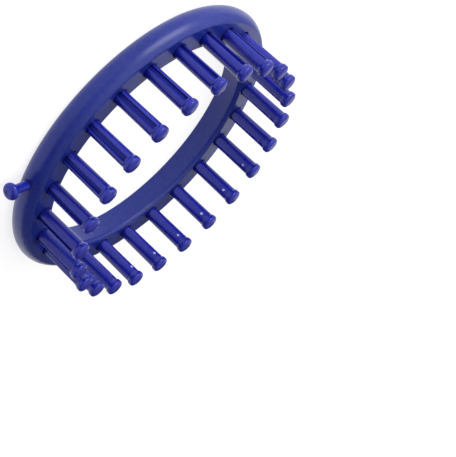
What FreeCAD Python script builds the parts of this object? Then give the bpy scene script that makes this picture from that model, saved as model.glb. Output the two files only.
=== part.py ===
"""Round knitting loom: one moulded ring, twenty-four grooved pegs and one anchor peg.

Frame: millimetres, +Z up. The origin is on the ring's axis in the plane the loom stands on.
The pegs stand up from the ring's upper face, and the anchor peg points out along -Y.
"""
import FreeCAD
import Part
import math
import os

V = FreeCAD.Vector

# ---------------------------------------------------------------- driving dimensions
PEG_COUNT = 24
PEG_CIRCLE_R = 60.7        # axis of every peg to the ring's axis (pitch about 15.9)
RING_H = 11.0              # ring height: underside to peg face
BORE_R = 54.8              # knitting opening
BORE_TOP_ROUND = 2.1       # full round where the opening meets the peg face
WALL_MAX_R = 70.0          # crown of the bulged outer wall
WALL_EDGE_R = 68.25        # outer wall where its shoulders begin
WALL_EDGE_Z = 1.1          # height of the lower shoulder's start, and of the upper one below the face
FACE_OUT_R = 66.3          # outer limit of the flat peg face
FOOT_OUT_R = 67.0          # outer limit of the flat underside

SOCKET_R = 3.27            # peg socket
SOCKET_FLOOR_Z = 3.0       # ledge that the peg's end sits on
SOCKET_DRAIN_R = 1.9       # smaller hole below the ledge
SOCKET_CHAMFER = 0.40      # lead-in at the socket's mouth
KEY_W = 1.70               # rib in the socket that enters the peg's groove
KEY_TOP_Z = 9.3            # the rib stops short of the face
KEY_PROUD = 1.20           # how far the rib stands in from the socket's wall

POCKET_IN_R = 56.9         # cored-out pockets in the underside, one between each two sockets
POCKET_OUT_R = 65.2
POCKET_TOP_Z = 8.4
POCKET_DRAFT = 0.25        # pocket walls lean in by this much towards their roof
BOSS_R = 4.75              # material left round each socket

TENON_R = 3.20             # peg inside its socket
TENON_CHAMFER = 0.45
SHAFT_TOP_R = 3.37         # shaft just below the flare
FLARE_H = 2.1              # hollow flare from shaft to head
PEG_TOP = 24.4             # peg top above the peg face
HEAD_R = 3.90
HEAD_TOP_ROUND = 1.00
HEAD_DOME = 0.30           # rise of the domed end
HEAD_FULL_Z = 22.1         # height above the face where the head reaches its full radius

GROOVE_W = 2.20            # lengthwise groove on each peg's outward side
GROOVE_DEPTH = 1.90
GROOVE_ROOT_R = 0.45       # rounded corners of the groove's floor
GROOVE_TOP = 20.4          # squared end of the groove above the face
NUB_UP = 18.2              # low round nub on the peg's inward side, above the face
NUB_R = 0.80
NUB_PROUD = 0.30

ANCHOR_Z = 5.2             # anchor peg's axis above the underside
ANCHOR_SEAT_R = 65.7       # inner end of its tenon
ANCHOR_HOLE_R = 2.15
ANCHOR_TENON_R = 2.10
ANCHOR_NECK_R = 1.90       # shaft just behind the head
ANCHOR_HEAD_R = 3.60
ANCHOR_HEAD_IN = 77.8      # the head's full radius starts here
ANCHOR_HEAD_OUT = 79.3     # and ends here
ANCHOR_TIP = 80.6


def arc(a, m, b):
    return Part.Arc(V(*a), V(*m), V(*b)).toShape()


def line(a, b):
    return Part.makeLine(V(*a), V(*b))


def revolve(edges):
    """A solid of revolution about Z from a closed outline in the XZ plane."""
    wire = Part.Wire(edges)
    solid = Part.Face(wire).revolve(V(0, 0, 0), V(0, 0, 1), 360)
    return solid


def quarter(cx, cz, r, a0, a1):
    """Arc in the XZ plane about (cx, cz), from angle a0 to a1 in degrees."""
    p = []
    for a in (a0, 0.5 * (a0 + a1), a1):
        p.append((cx + r * math.cos(math.radians(a)), 0, cz + r * math.sin(math.radians(a))))
    return arc(*p)


def rot_z(shape, deg):
    s = shape.copy()
    s.rotate(V(0, 0, 0), V(0, 0, 1), deg)
    return s


# Peg 01 stands behind the anchor peg; the others follow clockwise seen from above.
PEG_ANGLES = [-90.0 - i * 360.0 / PEG_COUNT for i in range(PEG_COUNT)]


# ---------------------------------------------------------------- ring
def ring_blank():
    mid_z = 0.5 * RING_H
    top_edge_z = RING_H - WALL_EDGE_Z
    rnd = BORE_TOP_ROUND
    e = []
    # underside
    e.append(line((BORE_R, 0, 0), (FOOT_OUT_R, 0, 0)))
    # lower shoulder, bulged wall, upper shoulder
    low_mid = (FOOT_OUT_R + 0.80, 0, 0.36)
    e.append(arc((FOOT_OUT_R, 0, 0), low_mid, (WALL_EDGE_R, 0, WALL_EDGE_Z)))
    e.append(arc((WALL_EDGE_R, 0, WALL_EDGE_Z), (WALL_MAX_R, 0, mid_z), (WALL_EDGE_R, 0, top_edge_z)))
    up_mid = (FACE_OUT_R + 1.18, 0, RING_H - 0.32)
    e.append(arc((WALL_EDGE_R, 0, top_edge_z), up_mid, (FACE_OUT_R, 0, RING_H)))
    # peg face, rounded inner edge, knitting opening
    e.append(line((FACE_OUT_R, 0, RING_H), (BORE_R + rnd, 0, RING_H)))
    e.append(quarter(BORE_R + rnd, RING_H - rnd, rnd, 90, 180))
    e.append(line((BORE_R, 0, RING_H - rnd), (BORE_R, 0, 0)))
    return revolve(e)


def pocket():
    """One cored-out pocket, centred on +X, between the sockets at +-7.5 degrees."""
    def outline(z, inset):
        r0 = POCKET_IN_R + inset
        r1 = POCKET_OUT_R - inset
        half = math.radians(180.0 / PEG_COUNT)
        # the side walls follow the socket bosses: flat, parallel to the radius half way
        w0 = r0 * math.sin(half) - (BOSS_R + inset) / math.cos(half) * 0.97
        w1 = r1 * math.sin(half) - (BOSS_R + inset) / math.cos(half) * 0.97
        pts = [(r0, -w0), (r1, -w1), (r1, w1), (r0, w0)]
        return Part.makePolygon([V(x, y, z) for x, y in pts] + [V(pts[0][0], pts[0][1], z)])
    low = outline(-0.01, 0.0)
    high = outline(POCKET_TOP_Z, POCKET_DRAFT)
    solid = Part.makeLoft([low, high], True, True)
    upright = [ed for ed in solid.Edges
               if abs(ed.Vertexes[0].Point.z - ed.Vertexes[-1].Point.z) > 5.0]
    return solid.makeFillet(0.9, upright)


def socket_cut():
    """The stepped socket, with its lead-in and the rib that keys the peg, centred on the axis."""
    bore = Part.makeCylinder(SOCKET_R, RING_H - SOCKET_FLOOR_Z + 1.0, V(0, 0, SOCKET_FLOOR_Z))
    rib = Part.makeBox(SOCKET_R, KEY_W, KEY_TOP_Z - SOCKET_FLOOR_Z + 0.5,
                       V(SOCKET_R - KEY_PROUD, -KEY_W / 2, SOCKET_FLOOR_Z - 0.5))
    bore = bore.cut(rib)
    lead = Part.makeCone(SOCKET_R, SOCKET_R + SOCKET_CHAMFER + 0.5, SOCKET_CHAMFER + 0.5,
                         V(0, 0, RING_H - SOCKET_CHAMFER))
    drain = Part.makeCylinder(SOCKET_DRAIN_R, SOCKET_FLOOR_Z + 1.0, V(0, 0, -0.5))
    return bore.fuse(lead).fuse(drain).removeSplitter()


def make_ring():
    ring = ring_blank()
    cuts = []
    p = pocket()
    for i in range(PEG_COUNT):
        cuts.append(rot_z(p, PEG_ANGLES[i] + 180.0 / PEG_COUNT))
    s = socket_cut()
    s.translate(V(PEG_CIRCLE_R, 0, 0))
    for a in PEG_ANGLES:
        cuts.append(rot_z(s, a))
    # radial hole for the anchor peg, in from the outer wall along -Y
    cuts.append(Part.makeCylinder(ANCHOR_HOLE_R, WALL_MAX_R + 1.0 - ANCHOR_SEAT_R,
                                  V(0, -ANCHOR_SEAT_R, ANCHOR_Z), V(0, -1, 0)))
    ring = ring.cut(Part.makeCompound(cuts))
    solids = ring.Solids
    assert len(solids) == 1, "the ring must be one solid"
    return solids[0]


# ---------------------------------------------------------------- grooved peg
def make_peg():
    """A peg at the origin, groove towards +X, with z measured from the ring's underside."""
    f = RING_H
    flare_z0 = f + HEAD_FULL_Z - FLARE_H
    flare_z1 = f + HEAD_FULL_Z
    dr = HEAD_R - SHAFT_TOP_R
    # circle tangent to the shaft at the flare's foot
    rad = (FLARE_H ** 2 + dr ** 2) / (2 * dr)
    half = 0.5 * math.asin(FLARE_H / rad)
    mid = (SHAFT_TOP_R + rad * (1 - math.cos(half)), 0, flare_z0 + rad * math.sin(half))
    top_z = f + PEG_TOP
    cap_r = HEAD_R - HEAD_TOP_ROUND
    cap_z = top_z - HEAD_DOME
    shoulder_z = cap_z - HEAD_TOP_ROUND * 0.92
    e = []
    c = TENON_CHAMFER
    e.append(line((0, 0, SOCKET_FLOOR_Z), (TENON_R - c, 0, SOCKET_FLOOR_Z)))
    e.append(line((TENON_R - c, 0, SOCKET_FLOOR_Z), (TENON_R, 0, SOCKET_FLOOR_Z + c)))
    e.append(line((TENON_R, 0, SOCKET_FLOOR_Z + c), (TENON_R, 0, f)))
    e.append(line((TENON_R, 0, f), (SHAFT_TOP_R, 0, flare_z0)))
    e.append(arc((SHAFT_TOP_R, 0, flare_z0), mid, (HEAD_R, 0, flare_z1)))
    e.append(line((HEAD_R, 0, flare_z1), (HEAD_R, 0, shoulder_z)))
    k = math.sqrt(0.5)
    e.append(arc((HEAD_R, 0, shoulder_z),
                 (cap_r + HEAD_TOP_ROUND * k, 0, shoulder_z + HEAD_TOP_ROUND * 0.92 * k),
                 (cap_r, 0, cap_z)))
    # spherical cap with its centre on the peg's axis
    ball = (cap_r ** 2 + HEAD_DOME ** 2) / (2 * HEAD_DOME)
    bow = 0.5 * math.asin(cap_r / ball)
    e.append(arc((cap_r, 0, cap_z),
                 (ball * math.sin(bow), 0, top_z - ball + ball * math.cos(bow)), (0, 0, top_z)))
    e.append(line((0, 0, top_z), (0, 0, SOCKET_FLOOR_Z)))
    peg = revolve(e)
    z0 = SOCKET_FLOOR_Z - 1.0
    depth0 = SHAFT_TOP_R - GROOVE_DEPTH
    cutter = Part.makeBox(4.0, GROOVE_W, f + GROOVE_TOP - z0, V(depth0, -GROOVE_W / 2, z0))
    floor_edges = [ed for ed in cutter.Edges
                   if abs(ed.Vertexes[0].Point.x - depth0) < 1e-6
                   and abs(ed.Vertexes[-1].Point.x - depth0) < 1e-6
                   and abs(ed.Vertexes[0].Point.z - ed.Vertexes[-1].Point.z) > 5.0]
    cutter = cutter.makeFillet(GROOVE_ROOT_R, floor_edges)
    peg = peg.cut(cutter)
    # nub opposite the groove: a cap of a ball sunk in the shaft
    ball = (NUB_R ** 2 + NUB_PROUD ** 2) / (2 * NUB_PROUD)
    side = TENON_R + (SHAFT_TOP_R - TENON_R) * NUB_UP / (HEAD_FULL_Z - FLARE_H)
    peg = peg.fuse(Part.makeSphere(ball, V(-(side + NUB_PROUD - ball), 0, f + NUB_UP)))
    assert len(peg.Solids) == 1, "a peg must be one solid"
    return peg.Solids[0]


# ---------------------------------------------------------------- anchor peg
def make_anchor():
    """Revolved about Z with z as distance from the ring's axis, then laid along -Y."""
    wall = WALL_MAX_R - 0.35
    e = []
    c = 0.4
    e.append(line((0, 0, ANCHOR_SEAT_R), (ANCHOR_TENON_R - c, 0, ANCHOR_SEAT_R)))
    e.append(line((ANCHOR_TENON_R - c, 0, ANCHOR_SEAT_R), (ANCHOR_TENON_R, 0, ANCHOR_SEAT_R + c)))
    e.append(line((ANCHOR_TENON_R, 0, ANCHOR_SEAT_R + c), (ANCHOR_TENON_R, 0, wall + 0.5)))
    neck_z = ANCHOR_HEAD_IN - 1.6
    e.append(line((ANCHOR_TENON_R, 0, wall + 0.5), (ANCHOR_NECK_R, 0, neck_z)))
    e.append(arc((ANCHOR_NECK_R, 0, neck_z), (ANCHOR_NECK_R + 0.62, 0, neck_z + 1.10),
                 (ANCHOR_HEAD_R, 0, ANCHOR_HEAD_IN)))
    e.append(line((ANCHOR_HEAD_R, 0, ANCHOR_HEAD_IN), (ANCHOR_HEAD_R, 0, ANCHOR_HEAD_OUT)))
    rim = 2.35
    e.append(arc((ANCHOR_HEAD_R, 0, ANCHOR_HEAD_OUT),
                 (rim + (ANCHOR_HEAD_R - rim) * 0.72, 0, ANCHOR_HEAD_OUT + (ANCHOR_TIP - ANCHOR_HEAD_OUT) * 0.72),
                 (rim, 0, ANCHOR_TIP)))
    e.append(line((rim, 0, ANCHOR_TIP), (0, 0, ANCHOR_TIP)))
    e.append(line((0, 0, ANCHOR_TIP), (0, 0, ANCHOR_SEAT_R)))
    a = revolve(e)
    a.rotate(V(0, 0, 0), V(1, 0, 0), 90)       # +Z becomes -Y
    a.translate(V(0, 0, ANCHOR_Z))
    return a


def save(shape, node):
    assert shape.isValid(), node
    assert shape.Volume > 0, node
    shape.exportStep("parts/" + node + ".step")
    b = shape.BoundBox
    print("%-12s vol %9.2f  x %7.2f %7.2f  y %7.2f %7.2f  z %6.2f %6.2f" %
          (node, shape.Volume, b.XMin, b.XMax, b.YMin, b.YMax, b.ZMin, b.ZMax))


def main():
    os.makedirs("parts", exist_ok=True)
    ring = make_ring()
    save(ring, "ring")
    peg = make_peg()
    peg.translate(V(PEG_CIRCLE_R, 0, 0))
    for i, a in enumerate(PEG_ANGLES):
        save(rot_z(peg, a), "peg_%02d" % (i + 1))
    save(make_anchor(), "anchor_peg")


main()
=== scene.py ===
import math
import random

import bmesh
import bpy
from mathutils import Matrix, Vector


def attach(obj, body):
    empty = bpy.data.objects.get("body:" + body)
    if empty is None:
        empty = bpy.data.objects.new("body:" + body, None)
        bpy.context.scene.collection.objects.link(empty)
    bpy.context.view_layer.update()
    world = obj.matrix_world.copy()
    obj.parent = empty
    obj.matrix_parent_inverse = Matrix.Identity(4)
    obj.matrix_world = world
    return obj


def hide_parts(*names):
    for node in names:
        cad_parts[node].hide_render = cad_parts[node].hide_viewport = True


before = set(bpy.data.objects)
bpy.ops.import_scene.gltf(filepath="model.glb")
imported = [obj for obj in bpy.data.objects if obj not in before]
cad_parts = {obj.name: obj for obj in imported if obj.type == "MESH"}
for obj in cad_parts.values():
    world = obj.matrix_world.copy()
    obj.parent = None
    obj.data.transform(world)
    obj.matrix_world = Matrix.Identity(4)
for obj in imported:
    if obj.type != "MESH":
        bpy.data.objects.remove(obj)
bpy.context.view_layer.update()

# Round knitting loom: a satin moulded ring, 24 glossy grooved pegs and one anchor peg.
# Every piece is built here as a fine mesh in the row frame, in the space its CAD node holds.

MM = 0.001

# ------------------------------------------------------------------ shape values, in millimetres
PEGS = 24
STEP = 360.0 / PEGS
PEG_R = 60.7
RING_H = 11.0
BORE_R = 54.8
WALL_R = 69.97
WALL_EDGE_R, WALL_EDGE_Z = 68.25, 1.1
FACE_OUT, FACE_IN = 66.3, 56.9
FOOT_OUT, FOOT_IN = 67.0, 55.1
SOCKET_R, SOCKET_Z, DRAIN_R = 3.27, 3.0, 1.9
TENON_R, SHAFT_R = 3.20, 3.37
HEAD_R, TOP_Z = 3.90, 35.4
ANCHOR_Z = 5.2


def peg_angle(i):
    return -90.0 - i * STEP


# ------------------------------------------------------------------ mesh builder
class Build:
    """Points in millimetres and quads; each point carries how exposed to wear it is (0 to 1) and how sheltered, which
    sets its dust and painted shade.
    """

    def __init__(self):
        self.v, self.f, self.wear, self.dust = [], [], [], []
        self.scar, self.hollow = [], []

    def point(self, p, wear=0.0, dust=0.0, scar=0.0, hollow=0.0):
        self.v.append((float(p[0]), float(p[1]), float(p[2])))
        self.wear.append(float(wear))
        self.dust.append(float(dust))
        self.scar.append(float(scar))
        self.hollow.append(float(hollow))
        return len(self.v) - 1

    def loops(self, rows, closed=True, wear=None, dust=None, flip=False):
        """Quads between rows of points; rows is a list of equally long lists."""
        ids = []
        for j, row in enumerate(rows):
            ids.append([
                self.point(p, wear[j] if wear else 0.0, dust[j] if dust else 0.0) for p in row
            ])
        n = len(rows[0])
        for a, b in zip(ids, ids[1:]):
            for i in range(n if closed else n - 1):
                k = (i + 1) % n
                q = (a[i], a[k], b[k], b[i])
                self.f.append(q[::-1] if flip else q)
        return ids

    def fan(self, row_ids, centre, flip=False, wear=0.0, dust=0.0):
        c = self.point(centre, wear, dust)
        n = len(row_ids)
        for i in range(n):
            k = (i + 1) % n
            t = (row_ids[i], row_ids[k], c)
            self.f.append(t[::-1] if flip else t)

    def turned(self, other, deg):
        """Adds a copy of another builder turned about Z."""
        c, s = math.cos(math.radians(deg)), math.sin(math.radians(deg))
        base = len(self.v)
        for x, y, z in other.v:
            self.v.append((c * x - s * y, s * x + c * y, z))
        self.wear += other.wear
        self.dust += other.dust
        self.scar += other.scar
        self.hollow += other.hollow
        self.f += [tuple(i + base for i in q) for q in other.f]

    def mesh(self, name, sharp=50.0):
        me = bpy.data.meshes.new(name)
        me.from_pydata([(x * MM, y * MM, z * MM) for x, y, z in self.v], [], self.f)
        for label, values in (("wear", self.wear), ("dust", self.dust), ("scar", self.scar), ("hollow", self.hollow)):
            att = me.attributes.new(label, "FLOAT", "POINT")
            att.data.foreach_set("value", values)
        bm = bmesh.new()
        bm.from_mesh(me)
        bmesh.ops.remove_doubles(bm, verts=bm.verts, dist=2e-6)
        bmesh.ops.dissolve_degenerate(bm, edges=bm.edges, dist=1e-7)
        bmesh.ops.recalc_face_normals(bm, faces=bm.faces)
        for face in bm.faces:
            face.smooth = True
        limit = math.radians(sharp)
        for e in bm.edges:
            if len(e.link_faces) == 2 and e.calc_face_angle(0.0) > limit:
                e.smooth = False
        bm.to_mesh(me)
        open_edges = sum(1 for e in bm.edges if len(e.link_faces) != 2)
        bm.free()
        print("MESH", name, "verts", len(me.vertices), "faces", len(me.polygons), "open edges", open_edges)
        ob = bpy.data.objects.new(name, me)
        bpy.context.scene.collection.objects.link(ob)
        return ob


def lerp(a, b, t):
    return tuple(x + (y - x) * t for x, y in zip(a, b))


def arc_pts(cx, cz, r, a0, a1, n):
    out = []
    for i in range(n + 1):
        a = math.radians(a0 + (a1 - a0) * i / n)
        out.append((cx + r * math.cos(a), cz + r * math.sin(a)))
    return out


# ------------------------------------------------------------------ ring
# Bulged wall: one arc through both shoulder starts and the crown.
_half = RING_H / 2 - WALL_EDGE_Z
_sag = WALL_R - WALL_EDGE_R
RHO = (_half ** 2 + _sag ** 2) / (2 * _sag)
WALL_CX = WALL_R - RHO


def wall_profile():
    """(r, z, wear) from the underside's outer limit, up the bulged wall, to the face's outer limit."""
    out = []
    # lower shoulder: quadratic curve that leaves the underside flat and meets the bulge in line
    a, c = (FOOT_OUT, 0.0), (WALL_EDGE_R, WALL_EDGE_Z)
    ang = math.radians(-math.degrees(math.asin(_half / RHO)))
    tx, tz = -math.sin(ang), math.cos(ang)
    k = (c[1] - a[1]) / tz
    b = (c[0] - tx * k, a[1])
    for i in range(6):
        t = i / 6
        x = (1 - t) ** 2 * a[0] + 2 * t * (1 - t) * b[0] + t * t * c[0]
        z = (1 - t) ** 2 * a[1] + 2 * t * (1 - t) * b[1] + t * t * c[1]
        out.append((x, z, 0.55 - abs(t - 0.5) * 0.5))
    n = 16
    a1 = math.degrees(math.asin(_half / RHO))
    for i in range(n + 1):
        d = -a1 + 2 * a1 * i / n
        out.append((WALL_CX + RHO * math.cos(math.radians(d)),
                    RING_H / 2 + RHO * math.sin(math.radians(d)), 0.0 if abs(d) < 30 else 0.25))
    # upper shoulder: meets the bulge in line and the flat face in line
    a, c = (WALL_EDGE_R, RING_H - WALL_EDGE_Z), (FACE_OUT, RING_H)
    ang = math.radians(a1)
    tx, tz = -math.sin(ang), math.cos(ang)
    k = (c[1] - a[1]) / tz
    b = (a[0] + tx * k, c[1])
    for i in range(1, 9):
        t = i / 8
        x = (1 - t) ** 2 * a[0] + 2 * t * (1 - t) * b[0] + t * t * c[0]
        z = (1 - t) ** 2 * a[1] + 2 * t * (1 - t) * b[1] + t * t * c[1]
        out.append((x, z, 0.5 - abs(t - 0.4) * 0.6))
    return out


def wall_r(z):
    return WALL_CX + math.sqrt(max(RHO ** 2 - (z - RING_H / 2) ** 2, 0.0))


def polar(r, deg, z):
    a = math.radians(deg)
    return (r * math.cos(a), r * math.sin(a), z)


def frame_loop(r_in, r_out, half_deg, n_arc, n_rad, z):
    """Boundary of a sector patch as one closed loop that starts on the outer arc's middle and turns anticlockwise."""
    pts = []
    h = n_arc // 2
    for i in range(h):
        pts.append(polar(r_out, half_deg * i / h, z))
    for i in range(n_rad):
        pts.append(polar(r_out + (r_in - r_out) * i / n_rad, half_deg, z))
    for i in range(n_arc):
        pts.append(polar(r_in, half_deg * (1 - 2 * i / n_arc), z))
    for i in range(n_rad):
        pts.append(polar(r_in + (r_out - r_in) * i / n_rad, -half_deg, z))
    for i in range(h):
        pts.append(polar(r_out, -half_deg * (1 - i / h), z))
    return pts


KEY_HALF, KEY_X = 0.80, 2.07


def socket_loop(bound, r, z, key=False):
    """A circle about the peg's axis with one point for each boundary point; key pulls in the points of the keying rib."""
    out = []
    n = len(bound)
    for i, p in enumerate(bound):
        j = i if i <= n // 2 else i - n
        if abs(j) <= 2 and r > 2.6:
            if j == 0:
                y = 0.0
            elif abs(j) == 1:
                y = math.copysign(KEY_HALF, j)
            else:
                y = math.copysign(0.96, j)
            if key and abs(j) <= 1:
                out.append((PEG_R + KEY_X, y, z))
            elif key:
                y = math.copysign(0.87, j)
                out.append((PEG_R + math.sqrt(r * r - y * y), y, z))
            else:
                out.append((PEG_R + math.sqrt(r * r - y * y), y, z))
            continue
        a = math.atan2(p[1], p[0] - PEG_R)
        out.append((PEG_R + r * math.cos(a), r * math.sin(a), z))
    return out


def blend_loops(outer, inner, fractions):
    return [[lerp(a, b, t) for a, b in zip(outer, inner)] for t in fractions]


def rounded_box_dist(x, y, poly, rad):
    """Signed distance to a convex polygon shrunk by rad and rounded back out by it."""
    best_in, best_out = -1e9, 1e9
    n = len(poly)
    inside = True
    for i in range(n):
        ax, ay = poly[i]
        bx, by = poly[(i + 1) % n]
        ex, ey = bx - ax, by - ay
        ln = math.hypot(ex, ey)
        nx, ny = ey / ln, -ex / ln           # outward for an anticlockwise polygon
        ax, ay, bx, by = ax - nx * rad, ay - ny * rad, bx - nx * rad, by - ny * rad
        d = (x - ax) * nx + (y - ay) * ny
        best_in = max(best_in, d)
        if d > 0:
            inside = False
    if inside:
        return best_in - rad
    # corners of the shrunken polygon
    lines = []
    for i in range(n):
        ax, ay = poly[i]
        bx, by = poly[(i + 1) % n]
        ex, ey = bx - ax, by - ay
        ln = math.hypot(ex, ey)
        nx, ny = ey / ln, -ex / ln
        lines.append((nx, ny, nx * (ax - nx * rad) + ny * (ay - ny * rad)))
    corners = []
    for i in range(n):
        a1, b1, c1 = lines[i - 1]
        a2, b2, c2 = lines[i]
        det = a1 * b2 - a2 * b1
        corners.append(((c1 * b2 - c2 * b1) / det, (a1 * c2 - a2 * c1) / det))
    for i in range(n):
        ax, ay = corners[i]
        bx, by = corners[(i + 1) % n]
        ex, ey = bx - ax, by - ay
        t = max(0.0, min(1.0, ((x - ax) * ex + (y - ay) * ey) / (ex * ex + ey * ey)))
        best_out = min(best_out, math.hypot(x - ax - t * ex, y - ay - t * ey))
    return best_out - rad


def ray_outline(centre, bound, poly, rad, inset, z):
    """Where the ray from centre towards each boundary point crosses the rounded outline, moved in by inset."""
    out = []
    for p in bound:
        dx, dy = p[0] - centre[0], p[1] - centre[1]
        ln = math.hypot(dx, dy)
        dx, dy = dx / ln, dy / ln
        lo, hi = 0.0, 9.0
        for _ in range(40):
            mid = 0.5 * (lo + hi)
            if rounded_box_dist(centre[0] + dx * mid, centre[1] + dy * mid, poly, rad) < -inset:
                lo = mid
            else:
                hi = mid
        out.append((centre[0] + dx * lo, centre[1] + dy * lo, z))
    return out


def ring_sector():
    """One 15 degree sector without its outer wall, with the peg's socket on +X."""
    b = Build()
    # ---- peg face with the socket in it
    bound = frame_loop(FACE_IN, FACE_OUT, STEP / 2, 16, 16, RING_H)
    mouth = [(3.70, RING_H), (3.60, RING_H - 0.012), (3.50, RING_H - 0.05), (3.41, RING_H - 0.12),
             (3.34, RING_H - 0.22), (3.29, RING_H - 0.36), (SOCKET_R, RING_H - 0.55)]
    first = socket_loop(bound, mouth[0][0], RING_H)
    rows = blend_loops(bound, first, (0.0, 0.03, 0.28, 0.52, 0.78, 0.94))
    wear = [0.25, 0.05, 0.0, 0.0, 0.0, 0.1]
    # shade values: painted shade darkens the face towards each peg's foot and down the socket
    dust = [0.0, 0.0, 0.0, 0.05, 0.2, 0.5]
    rows += [socket_loop(bound, r, z) for r, z in mouth]
    wear += [0.3, 0.4, 0.4, 0.3, 0.1, 0.0, 0.0]
    dust += [0.7, 0.8, 0.9, 1.0, 1.0, 1.0, 1.0]
    # ---- down the socket, past the key, over the ledge, out of the drain hole
    for z in (10.0, 9.42):
        rows.append(socket_loop(bound, SOCKET_R, z))
    for z in (9.30, 7.0, 5.0, 3.12):
        rows.append(socket_loop(bound, SOCKET_R, z, key=True))
    rows.append(socket_loop(bound, SOCKET_R - 0.1, SOCKET_Z, key=True))
    rows.append(socket_loop(bound, DRAIN_R + 0.12, SOCKET_Z))
    rows.append(socket_loop(bound, DRAIN_R, SOCKET_Z - 0.12))
    rows.append(socket_loop(bound, DRAIN_R, 0.30))
    rows.append(socket_loop(bound, DRAIN_R + 0.07, 0.10))
    rows.append(socket_loop(bound, DRAIN_R + 0.25, 0.0))
    wear += [0.0] * 12
    dust += [1.0] * 8 + [0.9, 0.6, 0.3, 0.2]
    wear[-1] = 0.3
    b.loops(rows, wear=wear, dust=dust)
    # ---- underside round the drain hole: same 64 points
    low = frame_loop(FOOT_IN, FOOT_OUT, STEP / 4, 8, 24, 0.0)
    last = rows[-1]
    # keep the drain's own points, in order, as the inner loop
    rows2 = blend_loops(low, last, (0.0, 0.03, 0.3, 0.6, 0.85, 1.0))
    b.loops(rows2, wear=[0.4, 0.25, 0.2, 0.2, 0.2, 0.3], flip=True)
    # ---- cored-out pocket, half a pitch further on
    p = Build()
    low = frame_loop(FOOT_IN, FOOT_OUT, STEP / 4, 8, 24, 0.0)
    half = math.radians(STEP / 2)
    w0 = 56.9 * math.sin(half) - 4.75 / math.cos(half) * 0.97
    w1 = 65.2 * math.sin(half) - 4.75 / math.cos(half) * 0.97
    poly = [(56.9, -w0), (65.2, -w1), (65.2, w1), (56.9, w0)]
    mid = (61.15, 0.0)

    def line_at(inset, z):
        return ray_outline(mid, low, poly, 0.9, inset, z)
    rim = line_at(-0.16, 0.0)
    rows3 = blend_loops(low, rim, (0.0, 0.08, 0.5, 0.9))
    wear3 = [0.4, 0.2, 0.2, 0.2]
    dust3 = [0.0, 0.0, 0.0, 0.0]
    # painted shade deepens up into the cored pocket
    for inset, z in ((-0.16, 0.0), (-0.10, 0.015), (-0.04, 0.06), (0.0, 0.16), (0.03, 1.0),
                     (0.12, 4.0), (0.22, 7.2), (0.25, 7.9), (0.33, 8.18), (0.47, 8.34), (0.70, 8.40)):
        rows3.append(line_at(inset, z))
        wear3.append(0.35 if z < 0.1 else 0.0)
        dust3.append(min(1.0, z / 5.0))
    # round witness of an ejector pin in the pocket's roof
    pin = []
    for q in low:
        a = math.atan2(q[1] - mid[1], q[0] - mid[0])
        pin.append((math.cos(a), math.sin(a)))
    rows3.append([lerp(rows3[-1][i], (mid[0] + 1.62 * c, s * 1.62, 8.40), 0.5) for i, (c, s) in enumerate(pin)])
    for r, z in ((1.62, 8.40), (1.58, 8.42), (1.55, 8.50), (1.50, 8.53), (0.8, 8.53)):
        rows3.append([(mid[0] + r * c, s * r, z) for c, s in pin])
    wear3 += [0.0] * 6
    dust3 += [1.0] * 6
    ids = p.loops(rows3, wear=wear3, dust=dust3, flip=True)
    p.fan(ids[-1], (mid[0], 0.0, 8.53), flip=True, dust=1.0)
    b.turned(p, STEP / 2)
    # ---- rounded inner edge and the plain inner wall
    rnd = FACE_IN - BORE_R
    prof = [(FACE_IN, RING_H)]
    prof += [(FACE_IN + rnd * math.cos(math.radians(a)), RING_H - rnd + rnd * math.sin(math.radians(a)))
             for a in (99, 108, 117, 126, 135, 144, 153, 162, 171, 180)]
    prof += [(BORE_R, z) for z in (7.6, 6.0, 4.4, 2.8, 0.9)]
    prof += [(FOOT_IN + 0.3 * math.cos(math.radians(a)), 0.3 + 0.3 * math.sin(math.radians(a)))
             for a in (180, 205, 230, 250)]
    prof += [(FOOT_IN, 0.0)]
    wear4 = [0.1, 0.15, 0.25, 0.35, 0.4, 0.4, 0.35, 0.25, 0.15, 0.1, 0.0] + [0.0] * 5 + [0.2, 0.3, 0.4, 0.4, 0.4]
    rows4 = [[polar(r, -STEP / 2 + STEP * i / 16, z) for i in range(17)] for r, z in prof]
    b.loops(rows4, closed=False, wear=wear4)
    return b


def wall_sector():
    b = Build()
    prof = wall_profile()
    rows = [[polar(r, -STEP / 2 + STEP * i / 16, z) for i in range(17)] for r, z, _ in prof]
    b.loops(rows, closed=False, wear=[w for _, _, w in prof])
    return b


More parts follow.
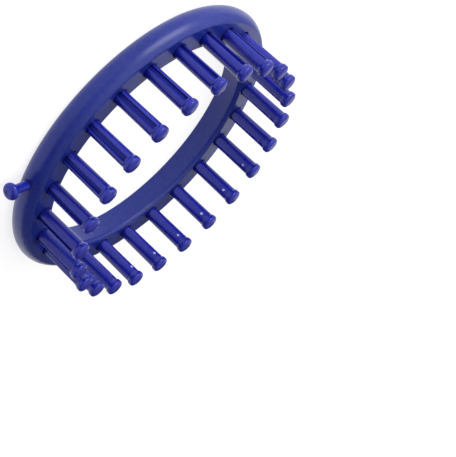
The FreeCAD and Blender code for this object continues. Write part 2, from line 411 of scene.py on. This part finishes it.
def wall_sector_with_hole():
    """The wall sector on +X with the anchor peg's round hole in it."""
    b = Build()
    prof = wall_profile()
    n = len(prof)
    lo, hi = 7, n - 10            # profile rows that bound the patch
    cols = [-STEP / 2 + STEP * i / 16 for i in range(17)]
    c0, c1 = 4, 12
    wears = [w for _, _, w in prof]
    rows = [[polar(r, a, z) for a in cols] for r, z, _ in prof]
    b.loops(rows[:lo + 1], closed=False, wear=wears[:lo + 1])
    b.loops(rows[hi:], closed=False, wear=wears[hi:])
    b.loops([r[:c0 + 1] for r in rows[lo:hi + 1]], closed=False, wear=wears[lo:hi + 1])
    b.loops([r[c1:] for r in rows[lo:hi + 1]], closed=False, wear=wears[lo:hi + 1])
    edge = []                      # (angle, z) round the gap, anticlockwise seen from outside
    for c in range(c0, c1):
        edge.append((cols[c], prof[lo][1]))
    for j in range(lo, hi):
        edge.append((cols[c1], prof[j][1]))
    for c in range(c1, c0, -1):
        edge.append((cols[c], prof[hi][1]))
    for j in range(hi, lo, -1):
        edge.append((cols[c0], prof[j][1]))
    hole = []
    for a, z in edge:
        y = WALL_R * math.sin(math.radians(a))
        t = math.atan2(z - ANCHOR_Z, y)
        hole.append((math.cos(t), math.sin(t)))
    r_mouth = 2.32

    def on_wall(a_deg, z):
        return polar(wall_r(z), a_deg, z)

    def hole_param(r):
        out = []
        for c, s in hole:
            z = ANCHOR_Z + r * s
            out.append((math.degrees(math.asin(r * c / wall_r(z))), z))
        return out
    inner = hole_param(r_mouth)
    rows2 = []
    for t in (0.0, 0.12, 0.4, 0.7, 0.93, 1.0):
        rows2.append([on_wall(*lerp(e, h, t)) for e, h in zip(edge, inner)])
    wear2 = [0, 0, 0, 0, 0.1, 0.3]
    # painted shade darkens the wall into the anchor's hole
    dust2 = [0, 0, 0.05, 0.3, 0.7, 0.9]
    for r, sink in ((2.24, 0.03), (2.18, 0.09), (2.15, 0.20)):
        rows2.append([(p[0] - sink, p[1], p[2]) for p in (on_wall(*q) for q in hole_param(r))])
        wear2.append(0.2)
        dust2.append(1.0)
    for x in (68.4, 67.0, 65.8):
        rows2.append([(x, 2.15 * c, ANCHOR_Z + 2.15 * s) for c, s in hole])
        wear2.append(0.0)
        dust2.append(1.0)
    rows2.append([(65.7, 2.05 * c, ANCHOR_Z + 2.05 * s) for c, s in hole])
    rows2.append([(65.7, 1.0 * c, ANCHOR_Z + 1.0 * s) for c, s in hole])
    wear2 += [0.0, 0.0]
    dust2 += [1.0, 1.0]
    ids = b.loops(rows2, wear=wear2, dust=dust2)
    b.fan(ids[-1], (65.7, 0.0, ANCHOR_Z), dust=1.0)
    return b


def make_ring():
    whole = Build()
    sector, wall, holed = ring_sector(), wall_sector(), wall_sector_with_hole()
    for i in range(PEGS):
        whole.turned(sector, peg_angle(i))
        whole.turned(holed if i == 0 else wall, peg_angle(i))
    return whole.mesh("loom_ring", sharp=42.0)


# ------------------------------------------------------------------ grooved peg
GROOVE_X = 1.47           # groove floor, out from the peg's axis
GROOVE_END = 31.4         # its squared end
LIP = 0.24
NUB_Z, NUB_R, NUB_PROUD = 29.2, 0.80, 0.30      # low round nub opposite the groove


def nub_height(arc, dz):
    """Rise of the nub at a distance along the shaft's skin from its middle, with a small fillet at its foot."""
    d = math.hypot(arc, dz)
    ball = (NUB_R ** 2 + NUB_PROUD ** 2) / (2 * NUB_PROUD)
    if d >= NUB_R + 0.12:
        return 0.0
    if d >= NUB_R - 0.12:
        t = (NUB_R + 0.12 - d) / 0.24
        edge = math.sqrt(ball ** 2 - (NUB_R - 0.12) ** 2) - (ball - NUB_PROUD)
        return edge * t * t
    return math.sqrt(ball ** 2 - d * d) - (ball - NUB_PROUD)


def groove_half(r, ridge=0.0, z=0.0):
    """Cross-section of the grooved shaft from the middle of the groove's floor round to the back, y >= 0.
    Returns pairs: the grooved point and the point on the plain circle that it becomes above the groove."""
    w_floor, w_top = 1.04, 1.10
    rc = 0.42
    scale, r = (r / 2.6, 2.6) if r < 2.6 else (1.0, r)
    pts = [(GROOVE_X, 0.0), (GROOVE_X, 0.22), (GROOVE_X, 0.44), (GROOVE_X + 0.005, w_floor - rc)]
    for a in (157, 135, 112, 94):
        pts.append((GROOVE_X + rc + rc * math.cos(math.radians(a)),
                    w_floor - rc + rc * math.sin(math.radians(a))))
    cy = w_top + LIP
    cx = math.sqrt((r - LIP) ** 2 - cy ** 2)
    psi = math.degrees(math.atan2(cy, cx))
    pts.append((0.5 * (GROOVE_X + rc + cx), 0.5 * (w_floor + w_top)))
    for i in range(7):
        a = math.radians(-84 + (psi + 84) * i / 6)
        pts.append((cx + LIP * math.cos(a), cy + LIP * math.sin(a)))
    n_g = len(pts)
    plain = []
    for i in range(n_g):
        a = math.radians(psi * i / (n_g - 1))
        plain.append((r * math.cos(a), r * math.sin(a)))
    # plain circle beyond the lip, with a fine parting ridge half way round
    rest = []
    a = psi
    marks = [psi + (84 - psi) * (i + 1) / 10 for i in range(10)]
    marks += [87.6, 89.0, 90.0, 91.0, 92.4]
    marks += [96.0 + 6 * i for i in range(11)] + [159.0 + 2.1 * i for i in range(11)]
    for m in marks:
        h = ridge if m == 90.0 else (ridge * 0.8 if m in (89.0, 91.0) else 0.0)
        if m > 156:
            h += nub_height(math.radians(180 - m) * r, z - NUB_Z)
        rest.append(((r + h) * math.cos(math.radians(m)), (r + h) * math.sin(math.radians(m))))
    plain = [(x * scale, y * scale) for x, y in plain]
    rest = [(x * scale, y * scale) for x, y in rest]
    return pts + rest, plain + rest


def cross_section(r, z, depth, ridge):
    """Full closed loop at one height. depth 1 is the whole groove, 0 none."""
    g, c = groove_half(r, ridge, z)
    half = [lerp(b, a, depth) for a, b in zip(g, c)]
    pts = [(x, y, z) for x, y in half]
    pts += [(x, -y, z) for x, y in reversed(half[1:-1])]
    return pts


def peg_levels():
    """(radius, z, groove depth, ridge height, wear, dust and painted shade) from the tenon's end to the top."""
    f = RING_H
    z0, z1 = f + 20.5, f + 21.8                 # flare
    dr = HEAD_R - SHAFT_R
    rad = ((z1 - z0) ** 2 + dr ** 2) / (2 * dr)
    out = [(2.76, 3.005, 1, 0, 0, 0), (2.98, 3.22, 1, 0, 0, 0), (TENON_R, 3.45, 1, 0, 0, 0)]
    for z in (5.0, 8.0, 10.2):
        out.append((TENON_R, z, 1, 0, 0, 1.0))
    for z in (10.7, 11.0, 11.3, 11.7, 12.4, 13.6, 15.4, 17.6, 20.0, 22.4, 24.8, 26.8, 27.8,
              28.24, 28.36, 28.48, 28.62, 28.76, 28.90, 29.05, 29.20, 29.35, 29.50, 29.64, 29.78, 29.92, 30.04, 30.16,
              30.5):
        # painted shade at the peg's foot, fading out just above the ring's face
        r = TENON_R + (SHAFT_R - TENON_R) * (z - 10.7) / (z0 - 10.7)
        out.append((r, z, 1, 0.030, 0.06, max(0.0, 1.0 - (z - 10.6) / 1.3)))
    # squared end of the groove, with a rounded inner corner and a soft lip
    def flare(z):
        if z <= z0:
            return TENON_R + (SHAFT_R - TENON_R) * (z - 10.7) / (z0 - 10.7)
        return SHAFT_R + rad - math.sqrt(rad ** 2 - (z - z0) ** 2)
    for dz, d in ((-0.42, 1.0), (-0.26, 0.985), (-0.13, 0.93), (-0.05, 0.84), (-0.015, 0.72),
                  (0.0, 0.34), (0.02, 0.20), (0.07, 0.09), (0.15, 0.025), (0.28, 0.0)):
        z = GROOVE_END + dz
        out.append((flare(z), z, d, 0.030, 0.15, 0.25))
    for z in (31.85, 32.05, 32.25, 32.45, 32.6):
        out.append((flare(z), z, 0, 0.025, 0.02, 0.1))
    # into the head: the hollow flare turns over a soft edge, a short straight side, one smooth domed end
    out += [(3.80, 32.70, 0, 0.02, 0.04, 0), (3.855, 32.82, 0, 0.02, 0.08, 0), (3.888, 32.98, 0, 0.02, 0.08, 0),
            (HEAD_R, 33.2, 0, 0.02, 0.06, 0), (HEAD_R, 33.6, 0, 0.02, 0.05, 0), (HEAD_R, 34.0, 0, 0.02, 0.05, 0)]
    p = 2.55
    for t in (0.10, 0.20, 0.31, 0.42, 0.53, 0.63, 0.72, 0.80, 0.865, 0.915, 0.955, 0.98, 0.993, 0.999):
        r = HEAD_R * (1 - t ** p) ** (1 / p)
        out.append((r, 34.0 + (TOP_Z - 34.0) * t, 0, 0.018 if t < 0.5 else 0.0, 0.05 + 0.20 * math.sin(math.pi * t), 0))
    return out


def make_peg(i, rng):
    b = Build()
    # painted glint on the nub: a pale spot, strong on one run of pegs, faint on the rest
    glint_strength = rng.uniform(0.6, 1.0) if 13 <= i <= 18 else rng.uniform(0.05, 0.22)
    levels = peg_levels()
    rows = [cross_section(r, z, d, ridge) for r, z, d, ridge, w, du in levels]
    # worn points stand out most on the groove's lips
    ids = []
    n = len(rows[0])
    lip_lo, lip_hi = 9, 16
    for (r, z, d, ridge, w, du), row in zip(levels, rows):
        line = []
        for k, p in enumerate(row):
            m = min(k, n - k)
            lip = d * (0.45 if lip_lo <= m <= lip_hi and z > 11.5 else 0.0)
            # painted shade on the groove's floor
            floor = d * (0.12 if m < lip_lo and z > 11 else 0.0)
            inner = d * (1.0 if m < 9 else (0.6 if m < 11 else 0.0))
            off = math.hypot(math.atan2(abs(p[1]), -p[0]) * r, z - NUB_Z) if p[0] < 0 else 9.0
            # painted glint: pale spot round the nub's middle
            glint_mask = glint_strength * max(0.0, min(1.0, (0.72 - off) / 0.30))
            line.append(b.point(p, min(1.0, w + lip), min(1.0, du + floor), glint_mask, inner))
        ids.append(line)
    for a, c in zip(ids, ids[1:]):
        for k in range(n):
            m = (k + 1) % n
            b.f.append((a[k], a[m], c[m], c[k]))
    # the tenon's flat end
    b.f.append(tuple(reversed(ids[0])))
    b.fan(ids[-1], (0, 0, TOP_Z))
    # stand it in its socket, with the small turn and lean that hand assembly leaves
    out = Build()
    turn = rng.uniform(-0.7, 0.7)
    lean_x, lean_y = rng.uniform(-0.0011, 0.0011), rng.uniform(-0.0011, 0.0011)
    ca, sa = math.cos(math.radians(turn)), math.sin(math.radians(turn))
    ang = math.radians(peg_angle(i))
    for (x, y, z), w, du, sc, ho in zip(b.v, b.wear, b.dust, b.scar, b.hollow):
        x, y = ca * x - sa * y, sa * x + ca * y
        up = max(z - 7.0, 0.0)
        x, y = x + lean_x * up, y + lean_y * up
        X = (PEG_R + x) * math.cos(ang) - y * math.sin(ang)
        Y = (PEG_R + x) * math.sin(ang) + y * math.cos(ang)
        out.point((X, Y, z), w, du, sc, ho)
    out.f = b.f
    return out.mesh("loom_peg_%02d" % (i + 1), sharp=46.0)


# ------------------------------------------------------------------ anchor peg
def make_anchor():
    b = Build()
    n = 64
    # columns: radius, distance out, wear, dust and painted shade (darker in the hole and in the end's dimple)
    prof = [(0.9, 65.72, 0, 0), (1.72, 65.72, 0, 0), (2.0, 65.9, 0, 0), (2.09, 66.2, 0, 0), (2.10, 67.5, 0, 1),
            (2.10, 69.0, 0, 1), (2.10, 69.5, 0, 1), (2.10, 69.75, 0, 0.8), (2.10, 69.95, 0, 0.5),
            (2.09, 70.3, 0, 0.3), (2.07, 70.8, 0, 0.1), (2.04, 71.6, 0, 0),
            (2.00, 73.0, 0, 0), (1.97, 74.4, 0, 0), (1.94, 75.5, 0, 0), (1.95, 75.95, 0, 0.1),
            (2.02, 76.32, 0, 0.2), (2.18, 76.66, 0, 0.2), (2.44, 76.96, 0, 0.2), (2.76, 77.22, 0.05, 0.1),
            (3.06, 77.45, 0.1, 0), (3.31, 77.72, 0.15, 0), (3.48, 78.04, 0.2, 0), (3.57, 78.40, 0.2, 0),
            (3.60, 78.75, 0.2, 0), (3.58, 79.05, 0.25, 0), (3.49, 79.38, 0.3, 0), (3.32, 79.70, 0.3, 0),
            (3.06, 79.99, 0.35, 0), (2.72, 80.22, 0.35, 0), (2.32, 80.39, 0.3, 0), (1.88, 80.50, 0.25, 0),
            (1.5, 80.565, 0.2, 0), (1.12, 80.585, 0.25, 0), (0.95, 80.57, 0.2, 0.1), (0.84, 80.52, 0.1, 0.2),
            (0.74, 80.46, 0.1, 0.3), (0.58, 80.425, 0.1, 0.3), (0.3, 80.41, 0.1, 0.3)]
    rows = []
    for r, d, w, du in prof:
        row = []
        for k in range(n):
            a = 2 * math.pi * k / n
            # fine parting ridge in the plane of the ring's mid height
            h = 0.0
            if k in (0, n // 2) and 69.9 < d < 79.6:
                h = 0.022
            row.append(((r + h) * math.cos(a), -d, ANCHOR_Z + (r + h) * math.sin(a)))
        rows.append(row)
    ids = b.loops(rows, wear=[p[2] for p in prof], dust=[p[3] for p in prof])
    b.fan(ids[0], (0, -65.72, ANCHOR_Z), flip=True)
    b.fan(ids[-1], (0, -80.405, ANCHOR_Z))
    return b.mesh("loom_anchor_peg", sharp=48.0)


# ------------------------------------------------------------------ materials
def new_material(name):
    m = bpy.data.materials.new(name)
    m.use_nodes = True
    nt = m.node_tree
    nt.nodes.clear()
    return m, nt


def node(nt, kind, **values):
    nd = nt.nodes.new(kind)
    for k, v in values.items():
        if k.startswith("_"):
            setattr(nd, k[1:], v)
        else:
            nd.inputs[k].default_value = v
    return nd


def noise(nt, coord, scale, detail=3.0, rough=0.5, stretch=None):
    src = coord
    if stretch:
        mp = node(nt, "ShaderNodeMapping")
        mp.inputs["Scale"].default_value = stretch
        nt.links.new(coord, mp.inputs["Vector"])
        src = mp.outputs["Vector"]
    nz = node(nt, "ShaderNodeTexNoise", Scale=scale, Detail=detail, Roughness=rough)
    nt.links.new(src, nz.inputs["Vector"])
    return nz.outputs["Fac"]


def ramp(nt, fac, stops):
    r = nt.nodes.new("ShaderNodeValToRGB")
    nt.links.new(fac, r.inputs["Fac"])
    e = r.color_ramp.elements
    while len(e) > 1:
        e.remove(e[-1])
    e[0].position, e[0].color = stops[0][0], stops[0][1]
    for pos, col in stops[1:]:
        k = e.new(pos)
        k.color = col
    return r.outputs["Color"]


def grey(v):
    return (v, v, v, 1.0)


def mix_rgb(nt, fac, a, b):
    m = nt.nodes.new("ShaderNodeMix")
    m.data_type = "RGBA"
    for s, v in ((m.inputs[0], fac), (m.inputs[6], a), (m.inputs[7], b)):
        if hasattr(v, "links") or isinstance(v, bpy.types.NodeSocket):
            nt.links.new(v, s)
        else:
            s.default_value = v
    return m.outputs[2]


def math_node(nt, op, a, b=None, clamp=False):
    m = nt.nodes.new("ShaderNodeMath")
    m.operation = op
    m.use_clamp = clamp
    for s, v in ((m.inputs[0], a), (m.inputs[1], b)):
        if v is None:
            continue
        if isinstance(v, bpy.types.NodeSocket):
            nt.links.new(v, s)
        else:
            s.default_value = v
    return m.outputs[0]


def attribute(nt, name):
    a = nt.nodes.new("ShaderNodeAttribute")
    a.attribute_name = name
    return a.outputs["Fac"]


def plastic(name, base, deep, pale, grime_and_shade, rough_lo, rough_hi, grain, grain_depth, peel_depth, wear_rough, scuff_gain, ior=1.46,
            inside=(0.0090, 0.0160, 0.270, 1)):
    """Moulded plastic: slow colour drift, fine mould grain, orange peel, hairline scuffs, paler worn edges, dust and
    painted shade in hollows, a painted glint on the nub.
    """
    m, nt = new_material(name)
    out = nt.nodes.new("ShaderNodeOutputMaterial")
    bsdf = nt.nodes.new("ShaderNodeBsdfPrincipled")
    nt.links.new(bsdf.outputs["BSDF"], out.inputs["Surface"])
    bsdf.inputs["IOR"].default_value = ior
    tc = nt.nodes.new("ShaderNodeTexCoord")
    obj = tc.outputs["Object"]
    # slow drift of the pigment, and a finer cloudiness
    drift = ramp(nt, noise(nt, obj, 55.0, 3.0, 0.55), [(0.30, grey(0.0)), (0.72, grey(1.0))])
    fine = ramp(nt, noise(nt, obj, 420.0, 4.0, 0.6), [(0.35, grey(0.0)), (0.70, grey(1.0))])
    colour = mix_rgb(nt, drift, deep, base)
    cloud = math_node(nt, "MULTIPLY", fine, 0.16)
    colour = mix_rgb(nt, cloud, colour, pale)
    # specks in the pigment
    specks = ramp(nt, noise(nt, obj, 2600.0, 2.0, 0.5), [(0.70, grey(0.0)), (0.78, grey(1.0))])
    colour = mix_rgb(nt, math_node(nt, "MULTIPLY", specks, 0.10), colour, pale)
    # hairline scuffs: thin streaks of stretched noise, more where the part is handled
    wear = attribute(nt, "wear")
    dust = attribute(nt, "dust")
    s1 = ramp(nt, noise(nt, obj, 260.0, 5.0, 0.72, (1.0, 1.0, 9.0)), [(0.60, grey(0.0)), (0.66, grey(1.0)), (0.72, grey(0.0))])
    s2 = ramp(nt, noise(nt, obj, 300.0, 5.0, 0.72, (7.0, 1.6, 1.0)), [(0.61, grey(0.0)), (0.66, grey(1.0)), (0.71, grey(0.0))])
    scuff = math_node(nt, "MAXIMUM", s1, s2)
    scuff = math_node(nt, "MULTIPLY", scuff, scuff_gain)
    broken = ramp(nt, noise(nt, obj, 700.0, 4.0, 0.7), [(0.38, grey(0.0)), (0.62, grey(1.0))])
    edge = math_node(nt, "MULTIPLY", wear, broken)
    colour = mix_rgb(nt, math_node(nt, "MULTIPLY", edge, 0.20), colour, pale)
    colour = mix_rgb(nt, math_node(nt, "MULTIPLY", scuff, 0.18), colour, pale)
    # dust and painted shade in the hollows: darker towards a dark navy round the peg feet, in sockets, pockets and
    # grooves
    dust_shade_mottle = ramp(nt, noise(nt, obj, 900.0, 3.0, 0.6), [(0.35, grey(0.0)), (0.75, grey(1.0))])
    dust_shade_mottle = math_node(nt, "ADD", math_node(nt, "MULTIPLY", dust_shade_mottle, 0.3), 0.7)
    settled_dust_and_shade = math_node(nt, "MULTIPLY", math_node(nt, "MULTIPLY", dust, dust_shade_mottle), 0.60)
    colour = mix_rgb(nt, settled_dust_and_shade, colour, grime_and_shade)
    # the groove's inside: coarser mould finish, richer tone; the nub: a painted glint, a pale spot standing in for a
    # highlight
    hollow = attribute(nt, "hollow")
    colour = mix_rgb(nt, hollow, colour, inside)
    glint_noise = ramp(nt, noise(nt, obj, 3000.0, 3.0, 0.6), [(0.25, grey(0.35)), (0.60, grey(1.0))])
    scar = math_node(nt, "MULTIPLY", attribute(nt, "scar"), glint_noise)
    colour = mix_rgb(nt, scar, colour, (0.52, 0.61, 0.86, 1))
    nt.links.new(colour, bsdf.inputs["Base Color"])
    # less specular inside the groove: painted shade that darkens it
    shine = math_node(nt, "SUBTRACT", 0.5, math_node(nt, "MULTIPLY", hollow, 0.29))
    nt.links.new(shine, bsdf.inputs["Specular IOR Level"])
    # gloss: patchy, duller on worn edges and scuffs
    patch = ramp(nt, noise(nt, obj, 130.0, 4.0, 0.6), [(0.30, grey(rough_lo)), (0.70, grey(rough_hi))])
    rough = math_node(nt, "ADD", patch, math_node(nt, "MULTIPLY", edge, wear_rough))
    rough = math_node(nt, "ADD", rough, math_node(nt, "MULTIPLY", scuff, 0.16))
    rough = math_node(nt, "ADD", rough, math_node(nt, "MULTIPLY", dust, 0.08))
    rough = math_node(nt, "ADD", rough, math_node(nt, "MULTIPLY", hollow, 0.18), True)
    nt.links.new(rough, bsdf.inputs["Roughness"])
    # relief: orange peel under fine mould grain, cut by the scuffs
    peel = noise(nt, obj, 330.0, 2.0, 0.4)
    grain_n = noise(nt, obj, grain, 3.0, 0.6)
    b1 = node(nt, "ShaderNodeBump", Strength=1.0, Distance=peel_depth)
    nt.links.new(peel, b1.inputs["Height"])
    b2 = node(nt, "ShaderNodeBump", Strength=1.0, Distance=grain_depth)
    nt.links.new(grain_n, b2.inputs["Height"])
    nt.links.new(b1.outputs["Normal"], b2.inputs["Normal"])
    b3 = node(nt, "ShaderNodeBump", Strength=1.0, Distance=0.000004)
    b3.invert = True
    nt.links.new(scuff, b3.inputs["Height"])
    nt.links.new(b2.outputs["Normal"], b3.inputs["Normal"])
    nt.links.new(b3.outputs["Normal"], bsdf.inputs["Normal"])
    return m


ring_mat = plastic("ring_satin_plastic", base=(0.0060, 0.0165, 0.200, 1), deep=(0.0048, 0.0140, 0.178, 1),
                   pale=(0.050, 0.075, 0.32, 1), grime_and_shade=(0.004, 0.007, 0.045, 1), rough_lo=0.26, rough_hi=0.33, ior=1.41, grain=3200.0,
                   grain_depth=0.0000040, peel_depth=0.000010, wear_rough=0.08, scuff_gain=0.3)
peg_mat = plastic("peg_gloss_plastic", base=(0.0055, 0.0100, 0.280, 1), deep=(0.0042, 0.0078, 0.243, 1),
                  pale=(0.040, 0.055, 0.36, 1), grime_and_shade=(0.003, 0.004, 0.06, 1), rough_lo=0.17, rough_hi=0.24, ior=1.44, grain=3600.0,
                  grain_depth=0.0000020, peel_depth=0.000009, wear_rough=0.14, scuff_gain=0.8)

# ------------------------------------------------------------------ pieces
ring = make_ring()
ring.data.materials.append(ring_mat)
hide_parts("ring")
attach(ring, "root")

rng = random.Random(2411)
for i in range(PEGS):
    peg = make_peg(i, rng)
    peg.data.materials.append(peg_mat)
    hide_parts("peg_%02d" % (i + 1))
    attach(peg, "root")

anchor = make_anchor()
anchor.data.materials.append(peg_mat)
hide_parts("anchor_peg")
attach(anchor, "root")

# ------------------------------------------------------------------ floor, light and camera
floor_me = bpy.data.meshes.new("floor")
S = 9.0
floor_me.from_pydata([(-S, -S, 0), (S, -S, 0), (S, S, 0), (-S, S, 0)], [], [(0, 1, 2, 3)])
floor = bpy.data.objects.new("floor", floor_me)
bpy.context.scene.collection.objects.link(floor)
fm, fnt = new_material("pale_floor")
fo = fnt.nodes.new("ShaderNodeOutputMaterial")
fb = fnt.nodes.new("ShaderNodeBsdfPrincipled")
fb.inputs["Base Color"].default_value = (0.36, 0.36, 0.36, 1)
fb.inputs["Roughness"].default_value = 0.85
fb.inputs["Specular IOR Level"].default_value = 0.1
fb.inputs["Emission Color"].default_value = (1, 1, 1, 1)
fb.inputs["Emission Strength"].default_value = 0.77
fnt.links.new(fb.outputs["BSDF"], fo.inputs["Surface"])
floor_me.materials.append(fm)

world = bpy.data.worlds.new("studio")
bpy.context.scene.world = world
world.use_nodes = True
wnt = world.node_tree
wnt.nodes.clear()
wo = wnt.nodes.new("ShaderNodeOutputWorld")
bg = wnt.nodes.new("ShaderNodeBackground")
wc = wnt.nodes.new("ShaderNodeTexCoord")
wd = wnt.nodes.new("ShaderNodeVectorMath")
wd.operation = "DOT_PRODUCT"
wd.inputs[1].default_value = (-0.680, 0.224, 0.696)
wnt.links.new(wc.outputs["Generated"], wd.inputs[0])
side = math_node(wnt, "MULTIPLY", math_node(wnt, "ADD", wd.outputs["Value"], 1.0), 0.5)
# one broad soft side light on the -X side, a dim room on the other
sky = ramp(wnt, side, [(0.0, grey(0.12)), (0.44, grey(0.09)), (0.515, grey(0.03)), (0.545, grey(0.36)), (0.60, grey(0.26)),
                       (0.73, grey(0.31)), (0.80, grey(0.47)), (0.88, grey(0.80)), (1.0, grey(1.0))])
wnt.links.new(sky, bg.inputs["Color"])
bg.inputs["Strength"].default_value = 1.65
wnt.links.new(bg.outputs["Background"], wo.inputs["Surface"])


def area(name, loc, target, size, energy, colour=(1, 1, 1), glossy=True):
    d = bpy.data.lights.new(name, "AREA")
    d.shape = "RECTANGLE"
    d.size, d.size_y = size
    d.energy = energy
    d.color = colour
    o = bpy.data.objects.new(name, d)
    o.location = loc
    o.rotation_euler = (Vector(target) - Vector(loc)).to_track_quat("-Z", "Y").to_euler()
    o.visible_glossy = glossy
    o.visible_camera = False
    bpy.context.scene.collection.objects.link(o)
    return o


area("near_softbox", (-0.402, 0.050, 0.115), (0, 0, 0.01), (0.26, 0.18), 0.75)
area("back_card", (0.240, 0.511, 0.205), (0, 0, 0.01), (0.25, 0.20), 0.14)

cam_data = bpy.data.cameras.new("camera")
cam_data.sensor_fit = "AUTO"
cam_data.sensor_width = 36.0
cam_data.lens = 112.503
cam_data.clip_start = 0.01
cam_data.clip_end = 50.0
cam = bpy.data.objects.new("camera", cam_data)
rot = Matrix(((-0.39758468, -0.69055674, -0.60420015),
              (0.59882091, 0.30364510, -0.74108918),
              (0.69522654, -0.65645338, 0.29279517)))
cam.matrix_world = Matrix.Translation((-0.35844221, -0.44338302, 0.23548390)) @ rot.to_4x4()
bpy.context.scene.collection.objects.link(cam)
bpy.context.scene.camera = cam
bpy.context.scene.view_settings.view_transform = "Standard"

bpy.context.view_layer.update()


def plain(box):
    return [[float(x) for x in corner] for corner in box]
